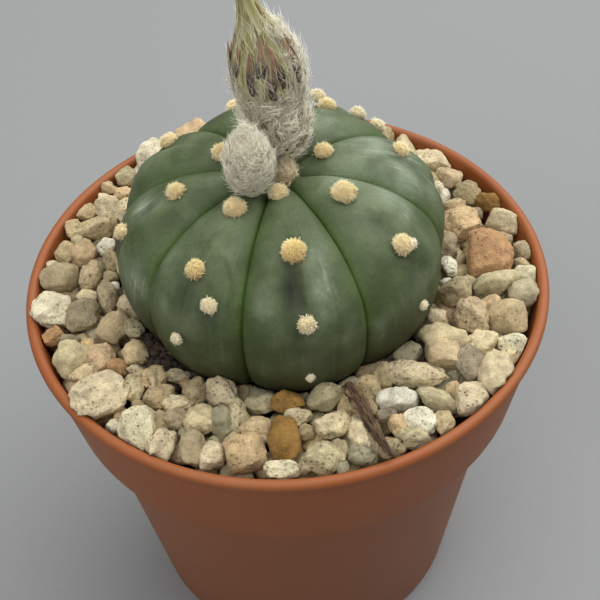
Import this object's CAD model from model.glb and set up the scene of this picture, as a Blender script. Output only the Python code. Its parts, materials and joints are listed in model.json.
"""Potted sand dollar cactus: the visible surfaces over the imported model.

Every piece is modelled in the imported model's own place, in metres, +Z up, with the front of
the plant towards -Y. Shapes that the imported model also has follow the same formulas.
"""

import json
import math
import random

import bpy
import numpy as np
from bpy.props import FloatProperty, FloatVectorProperty, IntProperty, PointerProperty
from mathutils import Matrix, Vector, noise

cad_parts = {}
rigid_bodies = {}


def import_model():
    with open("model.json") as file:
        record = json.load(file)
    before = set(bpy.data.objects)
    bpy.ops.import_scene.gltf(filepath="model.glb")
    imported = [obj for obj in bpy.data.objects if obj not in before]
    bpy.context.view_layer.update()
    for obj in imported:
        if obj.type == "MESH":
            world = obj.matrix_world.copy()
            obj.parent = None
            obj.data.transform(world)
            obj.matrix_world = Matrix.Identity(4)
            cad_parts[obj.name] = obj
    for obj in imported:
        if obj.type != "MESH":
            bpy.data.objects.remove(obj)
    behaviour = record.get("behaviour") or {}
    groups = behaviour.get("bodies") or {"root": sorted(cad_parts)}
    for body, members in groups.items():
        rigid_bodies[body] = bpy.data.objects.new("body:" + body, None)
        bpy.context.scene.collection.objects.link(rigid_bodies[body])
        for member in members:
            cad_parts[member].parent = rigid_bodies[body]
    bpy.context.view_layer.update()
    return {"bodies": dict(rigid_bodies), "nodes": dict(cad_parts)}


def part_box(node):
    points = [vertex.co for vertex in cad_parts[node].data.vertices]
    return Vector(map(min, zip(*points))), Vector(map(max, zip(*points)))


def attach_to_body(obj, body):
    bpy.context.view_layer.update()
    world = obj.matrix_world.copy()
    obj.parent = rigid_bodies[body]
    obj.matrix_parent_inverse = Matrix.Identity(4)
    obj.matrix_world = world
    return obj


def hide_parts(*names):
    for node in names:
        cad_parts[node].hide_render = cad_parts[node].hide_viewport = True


bl_info = {
    "name": "Potted Sand Dollar Cactus",
    "version": (1, 0, 0),
    "blender": (4, 5, 0),
    "location": "View3D > Sidebar > Cactus",
    "description": "Builds a sand dollar cactus with woolly areoles and buds in a plastic pot of pumice",
    "category": "Object",
}

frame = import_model()
BODY = next(iter(frame["bodies"]))

MM = 0.001
UP = np.array((0.0, 0.0, 1.0))

# Pot
POT_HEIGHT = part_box("pot")[1].z
RIM_RADIUS = 45.0 * MM
LIP_RADIUS = 0.95 * MM
COLLAR_TOP_RADIUS = 44.1 * MM
COLLAR_FOOT_RADIUS = 41.6 * MM
COLLAR_HEIGHT = 20.0 * MM
COLLAR_FOOT = POT_HEIGHT - COLLAR_HEIGHT
BODY_TOP_RADIUS = 38.2 * MM
FOOT_RADIUS = 31.5 * MM
FOOT_RING_WIDTH = 3.6 * MM
WALL = 1.25 * MM
BASE_RECESS = 2.2 * MM
FLOOR_MIDDLE = 8.0 * MM
DRAIN_COUNT = 6
DRAIN_RADIUS = 2.5 * MM
DRAIN_CIRCLE = 19.0 * MM
POT_SEGMENTS = 192

# Filling
STONE_LEVEL = POT_HEIGHT - 1.2 * MM
LOWER_DROP = 3.4 * MM
STONE_GAP = 0.25 * MM

# Cactus body
BODY_CENTRE = np.array((-0.3 * MM, -0.1 * MM, POT_HEIGHT + 7.1 * MM))
BODY_RADIUS = 26.3 * MM
CROWN_HEIGHT = 15.7 * MM
BELLY_DEPTH = 19.8 * MM
CROWN_POWER = 2.4
BELLY_POWER = 2.2
DIMPLE_DEPTH = 2.0 * MM
DIMPLE_WIDTH = 8.9 * MM
SEAM_AZIMUTHS = np.array((35.0, 80.0, 127.0, 173.0, 214.0, 254.0, 298.0, 348.0))
RIB_RISE = 1.4 * MM
SEAM_DEPTH = 0.8 * MM
SEAM_WIDTH = 0.045
RELIEF_REACH = 8.0 * MM
FADE_START = 110.0
FADE_REACH = 45.0
BELLY_END = 150.0
ROOT_TIP = 26.0 * MM
ROOT_TIP_RADIUS = 1.2 * MM
COLUMNS_PER_RIB = 40
CROWN_ROWS = 84
BELLY_ROWS = 36
ROOT_ROWS = 8

# Woolly areoles on the ribs: azimuth and profile angle in degrees, diameter in mm, and how yellow
# the wool is, from white at 0 to tan at 1
AREOLES = (
    (269.0, 11.0, 3.3, 0.55), (275.0, 38.0, 3.8, 0.95), (276.0, 70.0, 2.9, 0.4), (276.0, 98.0, 1.6, 0.15),
    (322.0, 24.0, 4.0, 0.65), (320.4, 55.3, 3.4, 0.6), (320.0, 89.0, 1.7, 0.2), (235.0, 22.0, 3.7, 0.65),
    (234.0, 51.0, 3.2, 0.85), (243.0, 64.0, 2.6, 0.3), (232.0, 87.0, 2.1, 0.15), (193.0, 33.0, 3.2, 0.7),
    (190.0, 66.0, 2.6, 0.6), (18.0, 14.0, 3.2, 0.7), (15.0, 47.0, 3.0, 0.65), (12.0, 80.0, 2.2, 0.1),
    (62.0, 12.0, 3.2, 0.6), (63.0, 44.0, 3.4, 0.65), (51.0, 54.0, 3.0, 0.3), (44.0, 63.0, 2.9, 0.3),
    (103.0, 22.0, 3.4, 0.6), (107.0, 50.0, 3.2, 0.6), (103.0, 78.0, 2.2, 0.1), (156.0, 17.0, 3.4, 0.7),
    (144.0, 50.0, 3.2, 0.6), (148.0, 80.0, 2.2, 0.1),
)
# Tufts that stand on another one: azimuth, angle, diameter, yellowness, how far they stand out in mm
STACKED_TUFTS = ((69.0, 47.0, 2.9, 0.3, 1.5), (325.0, 58.6, 1.9, 0.0, -0.1))
AREOLE_LIFT = 0.1
AREOLE_HEIGHT = 0.85
AREOLE_SEED = 21
TUFT_HAIR = ((1.0, 0.0), (0.6, 1.0))
# Hairs in an areole's wool, for its diameter in mm times itself
HAIR_DENSITY = 96.0
# Thin curved scar on the rib left of the front one: azimuth and profile angle in degrees
SCAR_LINE = ((239.0, 43.0), (242.0, 42.2), (245.0, 44.0), (247.2, 47.5), (249.0, 52.0), (249.8, 57.5),
             (249.0, 63.0))
SCAR_WIDTH = 0.33 * MM
SKIN_RIPPLE = 4.5 * MM
# Length of skin down a rib for each radian of profile angle, in mm
SKIN_REACH = 22.0

# Crease along a rib's crest and the swollen lobe beside it: the rib with the full crease and the
# depth of the others for it, the middle and reach down the rib in degrees, and the offsets and
# widths across it in mm
FURROW_DEPTH = 1.5 * MM
CREASED_RIB = 5
OTHER_CREASES = 0.45
CREASE_MIDDLE = 59.0
CREASE_REACH = 25.0
CREASE_OFFSET = 0.6
CREASE_STEEP = 0.55
CREASE_GENTLE = 1.9
LOBE_OFFSET = 2.4
LOBE_WIDTH = 1.5
LOBE_HEIGHT = 0.3

# Pale waxy patches and dark ones on the skin: azimuth and profile angle in degrees, half-width round
# the body and half-length down the rib in mm, and how pale, or dark where below zero
SKIN_MARKS = (
    (186.0, 50.0, 3.2, 2.4, 0.75), (191.0, 42.0, 2.0, 3.0, 0.5), (262.0, 61.0, 1.6, 3.6, 0.55),
    (282.5, 58.0, 2.1, 4.6, 0.9), (286.0, 40.0, 1.6, 2.2, 0.6), (336.0, 49.0, 2.2, 1.3, 0.8),
    (338.0, 39.0, 2.0, 2.0, 0.5), (180.0, 96.0, 2.4, 3.4, 0.8), (220.0, 52.0, 1.4, 5.0, 0.5),
    (218.0, 16.0, 2.2, 1.6, 0.5), (246.0, 40.0, 1.2, 2.0, 0.3), (302.0, 88.0, 1.4, 2.4, 0.5),
    (226.0, 72.0, 1.2, 3.0, 0.35), (20.0, 35.0, 4.2, 5.0, 1.0), (60.0, 30.0, 3.0, 4.0, 0.8),
    (104.0, 36.0, 3.0, 4.0, 0.4), (152.0, 60.0, 3.0, 4.0, 0.5), (244.0, 72.0, 3.0, 3.0, -0.45),
    (207.0, 80.0, 2.8, 4.4, 1.0), (290.0, 78.0, 1.6, 4.0, 0.4), (340.0, 20.0, 2.4, 2.6, 0.7),
    (2.0, 50.0, 4.0, 6.0, 0.9), (342.0, 40.0, 3.0, 4.0, 0.5), (212.0, 34.0, 3.0, 3.4, 0.35),
    (236.0, 60.0, 1.6, 2.6, -0.4), (274.0, 84.0, 4.0, 2.6, -0.6), (271.5, 54.0, 1.6, 4.6, -1.1),
    (318.0, 72.0, 2.2, 3.4, -0.6), (316.0, 38.0, 2.2, 3.4, -0.4), (256.0, 84.0, 3.0, 3.0, -0.3),
    (205.0, 40.0, 2.0, 3.0, -0.35), (20.0, 65.0, 2.0, 3.0, -0.4), (108.0, 66.0, 3.0, 3.0, -0.4),
)

# Buds: profiles are (height, radius) in mm from the bud's foot. A bud's stand is its foot, its lean
# to the right in degrees, and its bow to the right from a height in mm
FLOWER_STAND = ((1.0 * MM, 2.7 * MM, POT_HEIGHT + 21.0 * MM), -5.1, -0.0055, 15.0)
TUBE_PROFILE = ((-1.6, 1.5), (1.5, 2.0), (3.2, 3.0), (4.6, 4.2), (6.4, 5.0), (8.6, 5.35), (11.0, 5.3),
                (14.0, 4.9))
HEAD_PROFILE = ((14.3, 4.8), (17.0, 5.1), (20.0, 4.9), (23.0, 3.9), (26.0, 2.6), (29.0, 1.5), (34.2, 0.4))
PETAL_LAYERS = (
    # base height, length, width in mm, petals in the layer
    (15.6, 10.4, 2.2, 11),
    (18.0, 11.8, 2.1, 9),
    (20.4, 13.8, 2.0, 6),
)
BRACT_LAYERS = (
    # lowest and highest base, length, width in mm, lift off the bud, bracts in the layer
    (17.2, 20.8, 4.4, 1.6, 0.02, 18),
    (16.0, 18.2, 2.8, 1.1, 0.02, 12),
)
SIDE_STAND = ((-4.4 * MM, -6.0 * MM, POT_HEIGHT + 21.8 * MM), 0.0, 0.0, 0.0)
SIDE_PROFILE = ((-1.4, 1.0), (1.2, 1.3), (2.6, 2.4), (4.4, 3.3), (6.8, 3.7), (9.2, 3.4), (11.6, 2.1),
                (13.2, 0.5))
YOUNG_STAND = ((0.85 * MM, -2.2 * MM, POT_HEIGHT + 21.2 * MM), 0.0, 0.0, 0.0)
YOUNG_PROFILE = ((-1.4, 0.7), (0.5, 1.2), (1.8, 1.6), (3.0, 1.3), (3.9, 0.4))
HAIRS_PER_LOCK = 8
SIDE_HAIRS_PER_LOCK = 3
GOLDEN_ANGLE = math.radians(137.508)
FLOWER_SEED = 77
SMALL_BUD_SEED = 91
HAIR_PROFILE = ((1.0, 0.0), (0.93, 0.27), (0.86, 0.53), (0.65, 0.78), (0.15, 1.0))

# Bark twig: its centre line in mm with the height above the rim, and its thickness along it
TWIG_LINE = np.array((
    (7.9, -28.5, 2.3), (9.1, -30.6, 2.0), (10.1, -32.8, 1.7), (11.0, -35.6, 1.4), (12.1, -38.6, 1.3),
    (13.3, -41.6, 1.5),
)) * MM + POT_HEIGHT * UP
TWIG_RADIUS = 0.85 * MM
TWIG_TAPER = (0.95, 1.3, 0.95, 1.1, 0.8, 0.4)
# Ridges along the strip: their height, how close they lie, how fast they change along it, and how
# far they wind round it
TWIG_RIDGES = ((0.75, 1.8, 7.0, 0.0), (0.55, 4.5, 9.0, 1.0), (0.2, 9.0, 26.0, 0.0))
TWIG_ROWS = 110
TWIG_SIDES = 48
FIBRE_PROFILE = ((1.0, 0.0), (0.9, 0.4), (0.6, 0.75), (0.1, 1.0))
FIBRE_COUNT = 90
FIBRE_SEED = 8

# Kinds of stone in the gravel, by their dry colour
STONE_TONES = {
    "cream": "#e3d1a9", "pale": "#e9debb", "beige": "#d1bb91", "drab": "#bba984", "ash": "#c6b994",
    "grey": "#a6987d", "moss": "#a49c80", "white": "#efe8d0", "peach": "#dbbd92", "orange": "#bd946a",
    "rust": "#a07a40", "umber": "#5f4638",
}
FILL_TONES = ("beige", "drab", "cream", "ash", "beige", "pale", "drab", "cream", "beige", "grey", "cream",
              "drab", "ash", "peach", "beige", "moss")

# Stones that the photo shows: azimuth, distance from the axis, width along X, depth along Y, turn
# about Z, in degrees and mm, and the kind of stone
LANDMARK_STONES = (
    # Left side and back left
    (127, 40.5, 5.2, 7.3, -25, "pale"), (113, 41.5, 7.4, 5.4, 25, "peach"),
    (132, 39.5, 3.0, 3.5, 0, "white"), (136, 41.0, 4.2, 4.6, 0, "ash"), (142, 38.0, 4.7, 3.6, 10, "peach"),
    (148, 38.5, 4.5, 4.8, 0, "cream"), (151, 41.5, 4.1, 3.0, 25, "beige"),
    (156, 37.0, 7.2, 4.6, 10, "beige"), (158, 41.5, 3.0, 4.6, 10, "beige"),
    (156, 33.0, 2.6, 3.2, 0, "cream"), (163, 33.5, 3.3, 3.1, 0, "white"),
    (167, 40.5, 4.2, 5.4, 0, "beige"), (166, 37.0, 3.9, 6.2, -20, "peach"),
    (169, 31.5, 3.2, 4.6, 15, "drab"), (177, 39.5, 6.9, 6.0, 0, "drab"),
    (176, 34.5, 3.6, 6.2, -8, "beige"), (185, 31.0, 4.0, 6.8, 12, "drab"),
    (180, 30.0, 1.8, 2.0, 0, "white"), (188, 40.5, 7.1, 6.8, 0, "pale"), (191, 36.0, 6.2, 8.0, 0, "grey"),
    (195, 41.0, 4.0, 3.2, 20, "orange"), (199, 31.5, 6.2, 4.6, 38, "beige"),
    (202, 28.0, 3.8, 4.7, 10, "ash"), (212, 30.0, 3.7, 5.8, 0, "beige"), (205, 39.5, 5.6, 6.9, 0, "cream"),
    (208, 35.5, 4.8, 5.0, 0, "peach"), (213, 34.0, 3.3, 3.5, 0, "orange"),
    # Front left
    (211, 39.0, 5.2, 3.4, 15, "beige"), (220, 39.5, 8.9, 7.6, 10, "cream"),
    (233, 40.0, 6.3, 7.0, 0, "pale"), (222, 34.5, 3.1, 5.3, 0, "cream"), (224, 31.0, 3.6, 4.6, 0, "beige"),
    (229, 28.3, 4.1, 2.6, -20, "ash"), (233, 28.8, 2.0, 2.2, 0, "orange"),
    (238, 29.5, 3.9, 4.9, -20, "drab"), (230, 33.5, 4.7, 3.7, 15, "beige"),
    (236, 33.0, 4.3, 2.9, 0, "cream"), (238, 35.5, 4.0, 3.8, 0, "drab"),
    (244, 34.0, 5.8, 5.0, 25, "cream"), (239, 40.5, 3.7, 6.0, -20, "cream"),
    (246, 39.5, 4.4, 5.1, 0, "drab"), (235, 36.7, 2.4, 3.7, 0, "beige"), (226, 39.5, 2.6, 3.0, 0, "peach"),
    (227, 41.5, 2.3, 2.2, 0, "pale"), (242, 36.7, 2.2, 2.0, 0, "moss"),
    # Front
    (246, 28.5, 4.9, 5.6, 10, "cream"), (253, 32.0, 3.5, 6.0, 5, "cream"), (259, 28.5, 4.9, 3.8, 0, "ash"),
    (259, 33.5, 4.5, 4.2, 0, "beige"), (250, 33.5, 4.0, 4.8, 0, "moss"), (267, 28.5, 5.4, 4.1, 0, "rust"),
    (270, 27.9, 2.9, 2.3, 0, "umber"), (280, 28.7, 6.2, 3.9, 12, "ash"),
    (270, 31.5, 4.9, 3.0, 10, "cream"), (267, 35.5, 5.4, 7.6, -10, "rust"),
    (272, 34.3, 2.8, 2.9, 0, "beige"), (279, 34.0, 5.5, 4.8, 0, "cream"),
    (258, 39.0, 7.1, 6.0, 0, "peach"), (251, 39.5, 3.8, 5.6, -35, "cream"),
    (261, 35.3, 1.7, 1.6, 0, "cream"), (275, 39.5, 5.4, 4.9, 0, "ash"), (266, 41.0, 5.0, 2.9, 5, "pale"),
    (271, 40.3, 2.6, 2.9, 0, "drab"), (279, 39.0, 2.7, 4.1, 0, "drab"), (285, 31.0, 3.4, 4.5, 0, "beige"),
    (285, 36.5, 4.0, 6.8, 15, "cream"), (283, 40.3, 4.8, 3.6, -10, "moss"),
    # Front right
    (312, 27.9, 4.4, 4.6, 0, "moss"), (307, 31.4, 9.3, 4.2, -6, "cream"),
    (318, 32.3, 6.2, 6.3, 0, "beige"), (324, 30.8, 7.9, 4.8, 0, "cream"), (320, 36.5, 4.6, 5.6, 0, "grey"),
    (328, 36.5, 5.1, 4.2, 0, "cream"), (331, 41.0, 5.0, 4.8, 0, "pale"),
    (321, 41.0, 5.0, 7.4, -15, "cream"), (311, 41.0, 4.9, 6.0, -15, "cream"),
    (306, 37.0, 6.2, 4.0, -32, "ash"), (298, 33.5, 6.1, 4.1, 8, "white"),
    (299, 39.0, 4.9, 4.4, 0, "white"), (303, 41.0, 2.8, 4.6, 0, "beige"), (295, 41.0, 4.8, 3.7, 0, "ash"),
    (294, 38.0, 3.1, 4.0, 0, "peach"), (293, 35.0, 2.9, 2.6, 0, "grey"), (293, 29.3, 4.2, 4.4, 0, "beige"),
    (300, 28.3, 4.2, 4.6, 0, "drab"), (311, 37.5, 2.8, 3.0, 0, "peach"), (327, 41.3, 3.2, 2.6, 0, "cream"),
    # Right side
    (43, 39.8, 7.9, 6.0, -15, "cream"), (36, 39.8, 5.1, 5.4, 0, "beige"), (32, 36.0, 2.4, 3.4, 0, "white"),
    (28, 39.5, 4.8, 5.2, 0, "drab"), (25, 35.0, 4.7, 3.6, 0, "beige"), (22, 41.6, 5.4, 3.3, -20, "rust"),
    (16, 33.0, 7.1, 7.0, 0, "peach"), (14, 41.0, 7.1, 4.7, -20, "cream"), (0, 35.0, 8.5, 9.6, 0, "orange"),
    (3, 42.0, 3.4, 4.7, 0, "drab"), (354, 41.0, 5.4, 4.2, 0, "pale"), (358, 28.4, 3.2, 4.8, 0, "white"),
    (351, 27.8, 2.2, 1.8, 0, "white"), (350, 36.0, 7.4, 4.3, 12, "ash"), (345, 29.4, 5.7, 5.2, 0, "drab"),
)

# Top stones that fill the rest, and the lower ones under them
FILL_SEED = 12
FILL_TRIES = 9000
FILL_INNER = 26.5 * MM
FILL_OUTER = 42.0 * MM
FILL_LARGEST = 6.6 * MM
FILL_SMALLEST = 2.0 * MM
FILL_SPACING = 0.46
LOWER_SEED = 57
LOWER_TRIES = 2600
LOWER_INNER = 24.0 * MM
LOWER_OUTER = 40.5 * MM
LOWER_LARGEST = 5.6 * MM
LOWER_SMALLEST = 3.6 * MM
LOWER_SPACING = 0.8
LARGE_STONE = 6.6 * MM
SMALL_STONE = 3.2 * MM
# Numbers that give each stone its own form and tone
FIRST_LOWER = 2000
FORM_SEED = 1000
TONE_SEED = 500
GRAIN_PITCH = 1.4 * MM
# Stones up to this size are crumbled the most
FULL_GRAIN = 4.5 * MM
# The gravel's level: sunk at the back right, heaped at the back left
STONE_SINK = 0.8 * MM
DIP_START = 20.0 * MM
DIP_REACH = 30.0 * MM
DIP_DEPTH = 1.2 * MM
HEAP_PLACE = (-20.0 * MM, 36.0 * MM)
HEAP_RADIUS = 9.0 * MM
HEAP_HEIGHT = 2.6 * MM

# Where soil shows by the cactus, free of stones: azimuth, distance and radius in mm, crumbs
SOIL_PATCHES = (
    (211.0, 27.6, 1.6, 90), (217.0, 28.0, 2.0, 130), (223.0, 28.2, 1.6, 90), (235.0, 27.8, 1.0, 30),
    (306.0, 27.6, 1.4, 40), (319.0, 28.2, 1.3, 30),
)
CRUMB_SEED = 31

# Stage, in metres
FLOOR_RADIUS = 4.0


def linear(code):
    """Linear RGB of an sRGB hex colour."""
    channels = [int(code[index:index + 2], 16) / 255.0 for index in (1, 3, 5)]
    return tuple(value / 12.92 if value <= 0.04045 else ((value + 0.055) / 1.055) ** 2.4
                 for value in channels)


def new_material(name):
    """A node material with nothing in it yet."""
    material = bpy.data.materials.new(name)
    material.use_nodes = True
    material.node_tree.nodes.clear()
    return material


def add_node(material, kind, *inputs, **named):
    """Add a shader node with its settings and links.

    Values without a name fill the inputs in use, in their order. A name with a capital is an
    input, with _ for a space, and any other name is a setting. A node or a socket is linked, a
    text is an sRGB hex colour, and a colour gets an alpha of 1.
    """
    tree = material.node_tree
    node = tree.nodes.new("ShaderNode" + kind)
    for name, value in named.items():
        if name.islower():
            setattr(node, name, value)
    filled = list(zip([socket for socket in node.inputs if socket.enabled], inputs))
    for name, value in named.items():
        if not name.islower():
            filled.append((node.inputs[name.replace("_", " ")], value))
    for socket, value in filled:
        if isinstance(value, bpy.types.Node):
            value = next(output for output in value.outputs if output.enabled)
        if isinstance(value, bpy.types.NodeSocket):
            tree.links.new(value, socket)
        elif socket.type == "RGBA":
            socket.default_value = (*(linear(value) if isinstance(value, str) else value), 1.0)
        else:
            socket.default_value = value
    return node


def unit(vectors):
    """Vectors scaled to length 1."""
    return vectors / np.linalg.norm(vectors, axis=-1, keepdims=True)


def places_of(obj):
    """The object's vertex places as an array."""
    places = np.empty(len(obj.data.vertices) * 3, np.float32)
    obj.data.vertices.foreach_get("co", places)
    return places.reshape(-1, 3).astype(float)


def move_to(obj, places):
    """Put the object's vertices at new places."""
    obj.data.vertices.foreach_set("co", np.asarray(places, np.float32).ravel())
    obj.data.update()


def give_tint(mesh, *channels):
    """Keep four numbers for each vertex in the attribute "tint"."""
    values = np.stack(np.broadcast_arrays(*channels), -1).astype(np.float32)
    mesh.attributes.new("tint", "FLOAT_COLOR", "POINT").data.foreach_set("color", values.ravel())


def added(primitive, **settings):
    """Add a primitive, a light or a camera with nothing else selected."""
    bpy.ops.object.select_all(action="DESELECT")
    primitive(**settings)
    return bpy.context.object


def edit_all(operator, **settings):
    """Run a mesh operator on all of the active object."""
    bpy.ops.object.mode_set(mode="EDIT")
    bpy.ops.mesh.select_all(action="SELECT")
    operator(**settings)
    bpy.ops.object.mode_set(mode="OBJECT")


def uneven(points, pace, seed=(0.0, 0.0, 0.0)):
    """Smooth random numbers, most from -0.5 to 0.5, that change with place."""
    return np.array([noise.noise(Vector(point) * pace + Vector(seed)) for point in points])


def round_axis(turns, reach, height):
    """Points round an upright axis, by turn in radians, distance from the axis and height."""
    turns, reach, height = np.broadcast_arrays(turns, reach, height)
    return np.stack([reach * np.cos(turns), reach * np.sin(turns), height], -1)


def smooth_line(points, per_span):
    """Points of a smooth curve through the given ones."""
    known = [Vector(point) for point in points]
    known = [2.0 * known[0] - known[1], *known, 2.0 * known[-1] - known[-2]]
    line = []
    for before, start, end, after in zip(known, known[1:], known[2:], known[3:]):
        for step in range(per_span):
            t = step / per_span
            line.append(0.5 * (2.0 * start + (end - before) * t
                               + (2.0 * before - 5.0 * start + 4.0 * end - after) * t * t
                               + (3.0 * start - before - 3.0 * end + after) * t ** 3))
    line.append(known[-2])
    return np.array(line)


def along_line(line, share):
    """Places on a line of points, by the share of the points from 0 to 1."""
    steps = np.linspace(0.0, 1.0, len(line))
    return np.stack([np.interp(share, steps, line[:, axis]) for axis in range(3)], 1)


def arc(centre, radius, start, end, count):
    """Points of an arc in a turned profile, by angle in degrees from the outer side."""
    angles = [math.radians(start + (end - start) * index / (count - 1)) for index in range(count)]
    return [(centre[0] + radius * math.cos(angle), centre[1] + radius * math.sin(angle)) for angle in angles]


def apply_modifier(obj, kind, **settings):
    """Add a modifier with its settings and apply it."""
    modifier = obj.modifiers.new(kind.lower(), kind)
    for name, value in settings.items():
        setattr(modifier, name, value)
    bpy.context.view_layer.objects.active = obj
    bpy.ops.object.modifier_apply(modifier=modifier.name)


def turned(name, profile, segments):
    """Turn a profile of (radius, height) points: a ring extruded from point to point, its ends filled."""
    radius, height = profile[0]
    obj = added(bpy.ops.mesh.primitive_circle_add, vertices=segments, radius=radius,
                location=(0.0, 0.0, height))
    obj.name = name
    bpy.ops.object.transform_apply(location=True, rotation=True, scale=True)
    bpy.ops.object.mode_set(mode="EDIT")
    for (old_radius, old_height), (radius, height) in zip(profile, profile[1:]):
        bpy.ops.mesh.extrude_region_move(TRANSFORM_OT_translate={"value": (0.0, 0.0, height - old_height)})
        scale = radius / old_radius
        bpy.ops.transform.resize(value=(scale, scale, 1.0), center_override=(0.0, 0.0, height))
    edit_all(bpy.ops.mesh.fill_holes, sides=0)
    edit_all(bpy.ops.mesh.normals_make_consistent, inside=False)
    return obj


def laid(template, roots, directions, facings, lengths, bends, widths):
    """Places of a template's copies, each laid from its root along its direction with a bend."""
    base = places_of(template)
    side = unit(np.cross(directions, facings))
    face = np.cross(side, directions)
    along = base[None, :, 2:3]
    path = roots[:, None] + (directions * lengths[:, None])[:, None] * along + bends[:, None] * along ** 2
    across = side[:, None] * base[None, :, 0:1] * widths[:, None, None]
    return path + across + face[:, None] * base[None, :, 1:2] * widths[:, None, None]


def copied(name, template, shaped, *tints):
    """One piece from many copies of a template, each with its own vertex places.

    shaped holds places in metres by copy and vertex, and tints four numbers by copy and vertex.
    """
    count, size = shaped.shape[:2]
    faces = [tuple(face.vertices) for face in template.data.polygons]
    starts = range(0, count * size, size)
    moved = [[corner + start for corner in face] for start in starts for face in faces]
    mesh = bpy.data.meshes.new(name)
    mesh.from_pydata(shaped.reshape(-1, 3).tolist(), [], moved)
    if tints:
        give_tint(mesh, *[np.broadcast_to(tint, (count, size)) for tint in tints])
    mesh.shade_smooth()
    piece = bpy.data.objects.new(name, mesh)
    bpy.context.collection.objects.link(piece)
    return piece


def remove(*objects):
    """Delete templates and cutters that have done their work."""
    for obj in objects:
        bpy.data.objects.remove(obj, do_unlink=True)


def joined(name, pieces):
    """Join pieces into the first one."""
    bpy.ops.object.select_all(action="DESELECT")
    for piece in pieces:
        piece.select_set(True)
    bpy.context.view_layer.objects.active = pieces[0]
    bpy.ops.object.join()
    pieces[0].name = name
    return pieces[0]


def attach(piece, material, slot, *nodes):
    """Dress a finished piece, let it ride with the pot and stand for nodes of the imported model."""
    piece.data.materials.clear()
    piece.data.materials.append(material)
    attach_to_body(piece, BODY)
    if nodes:
        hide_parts(*nodes)


def body_profile(angles):
    """Radius and height of the bare body from its centre, by angle from the crown."""
    angles = np.asarray(angles, float)
    crown = angles <= 90.0
    power = np.where(crown, 2.0 / CROWN_POWER, 2.0 / BELLY_POWER)
    radius = BODY_RADIUS * np.abs(np.sin(np.radians(angles))) ** power
    level = np.abs(np.cos(np.radians(angles))) ** power
    dimple = DIMPLE_DEPTH * np.exp(-(radius / DIMPLE_WIDTH) ** 2)
    return radius, np.where(crown, CROWN_HEIGHT * level - dimple, -BELLY_DEPTH * level)


def body_normal(angles):
    """Outward direction of the bare body in its profile plane."""
    angles = np.asarray(angles, float)
    low_radius, low_height = body_profile(np.maximum(angles - 0.5, 0.0))
    high_radius, high_height = body_profile(angles + 0.5)
    across, up = high_radius - low_radius, high_height - low_height
    length = np.hypot(across, up)
    return -up / length, across / length


def rib_side(azimuths):
    """How far azimuths lie from their rib's crest: 0 on the crest, 1 in a seam."""
    starts = SEAM_AZIMUTHS - SEAM_AZIMUTHS[0]
    spans = np.diff(np.append(starts, 360.0))
    turns = (np.asarray(azimuths, float) - SEAM_AZIMUTHS[0]) % 360.0
    rib = np.searchsorted(starts, turns, side="right") - 1
    return np.abs(2.0 * (turns - starts[rib]) / spans[rib] - 1.0)


def rib_relief(azimuths, radius, angles):
    """Height of the ribs and seams over the bare body."""
    side = rib_side(azimuths)
    strength = np.minimum(1.0, radius / RELIEF_REACH)
    past = np.asarray(angles, float) - FADE_START
    strength = strength * np.where(past > 0.0, np.maximum(0.35, 1.0 - past / FADE_REACH), 1.0)
    crest = RIB_RISE * (1.0 - side ** 2.5)
    seam = SEAM_DEPTH * np.exp(-(1.0 - side) / SEAM_WIDTH)
    return strength * (crest - seam)


def body_points(azimuths, angles, grow=0.0):
    """Points of the ribbed body, moved out by grow."""
    radius, height = body_profile(angles)
    across, up = body_normal(angles)
    offset = rib_relief(azimuths, radius, angles) + grow
    return BODY_CENTRE + round_axis(np.radians(azimuths), radius + across * offset, height + up * offset)


def body_outward(azimuths, angles):
    """Directions out of the body's surface."""
    return round_axis(np.radians(azimuths), *body_normal(angles))


def root_points(azimuths, share):
    """Points of the buried taproot, from the belly's end at share 0 to its tip at 1."""
    radius, height = body_profile(BELLY_END)
    start = BODY_CENTRE[2] + height
    drop = share ** 1.3
    reach = radius * (1.0 - drop) ** 1.5 + ROOT_TIP_RADIUS * drop
    places = round_axis(np.radians(azimuths), reach, start + (ROOT_TIP - start) * share)
    return places + (BODY_CENTRE[0], BODY_CENTRE[1], 0.0)


def inner_wall():
    """The inside of the pot from the floor up to the lip."""
    base_radius = FOOT_RADIUS - WALL
    return [
        (base_radius - 1.2 * MM, BASE_RECESS + WALL),
        (base_radius, BASE_RECESS + WALL + 1.5 * MM),
        (BODY_TOP_RADIUS - WALL, COLLAR_FOOT - 0.4 * MM),
        (COLLAR_FOOT_RADIUS - WALL, COLLAR_FOOT + 1.6 * MM),
        (RIM_RADIUS - 2.0 * LIP_RADIUS, POT_HEIGHT - LIP_RADIUS),
    ]


def colour_setting(name, code, description):
    """A colour in the sidebar, given as an sRGB hex colour."""
    return FloatVectorProperty(name=name, description=description, subtype="COLOR", default=linear(code))


class PotLook(bpy.types.PropertyGroup):
    """Colours of the pot."""

    plastic: colour_setting("Plastic", "#8f4f25", "Colour of the moulded plastic")
    dust: colour_setting("Dust", "#a08a74", "Colour of dried water and dust on the plastic")


class SkinLook(bpy.types.PropertyGroup):
    """Colours of the cactus skin and the wool of its areoles."""

    skin: colour_setting("Skin", "#475531", "Colour of the ribs")
    bloom: colour_setting("Bloom", "#656e52", "Grey waxy bloom on the ribs' crests")
    seam: colour_setting("Seams", "#50692f", "Young green in the seams between ribs")
    base: colour_setting("Base", "#3e4226", "Older skin near the gravel")
    wool: colour_setting("Wool", "#ffebac", "Areole wool")
    wool_shade: colour_setting("Wool shade", "#dba75e", "Older wool at the foot of an areole")
    wool_white: colour_setting("White wool", "#fff8de", "Wool of the youngest and lowest areoles")


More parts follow.
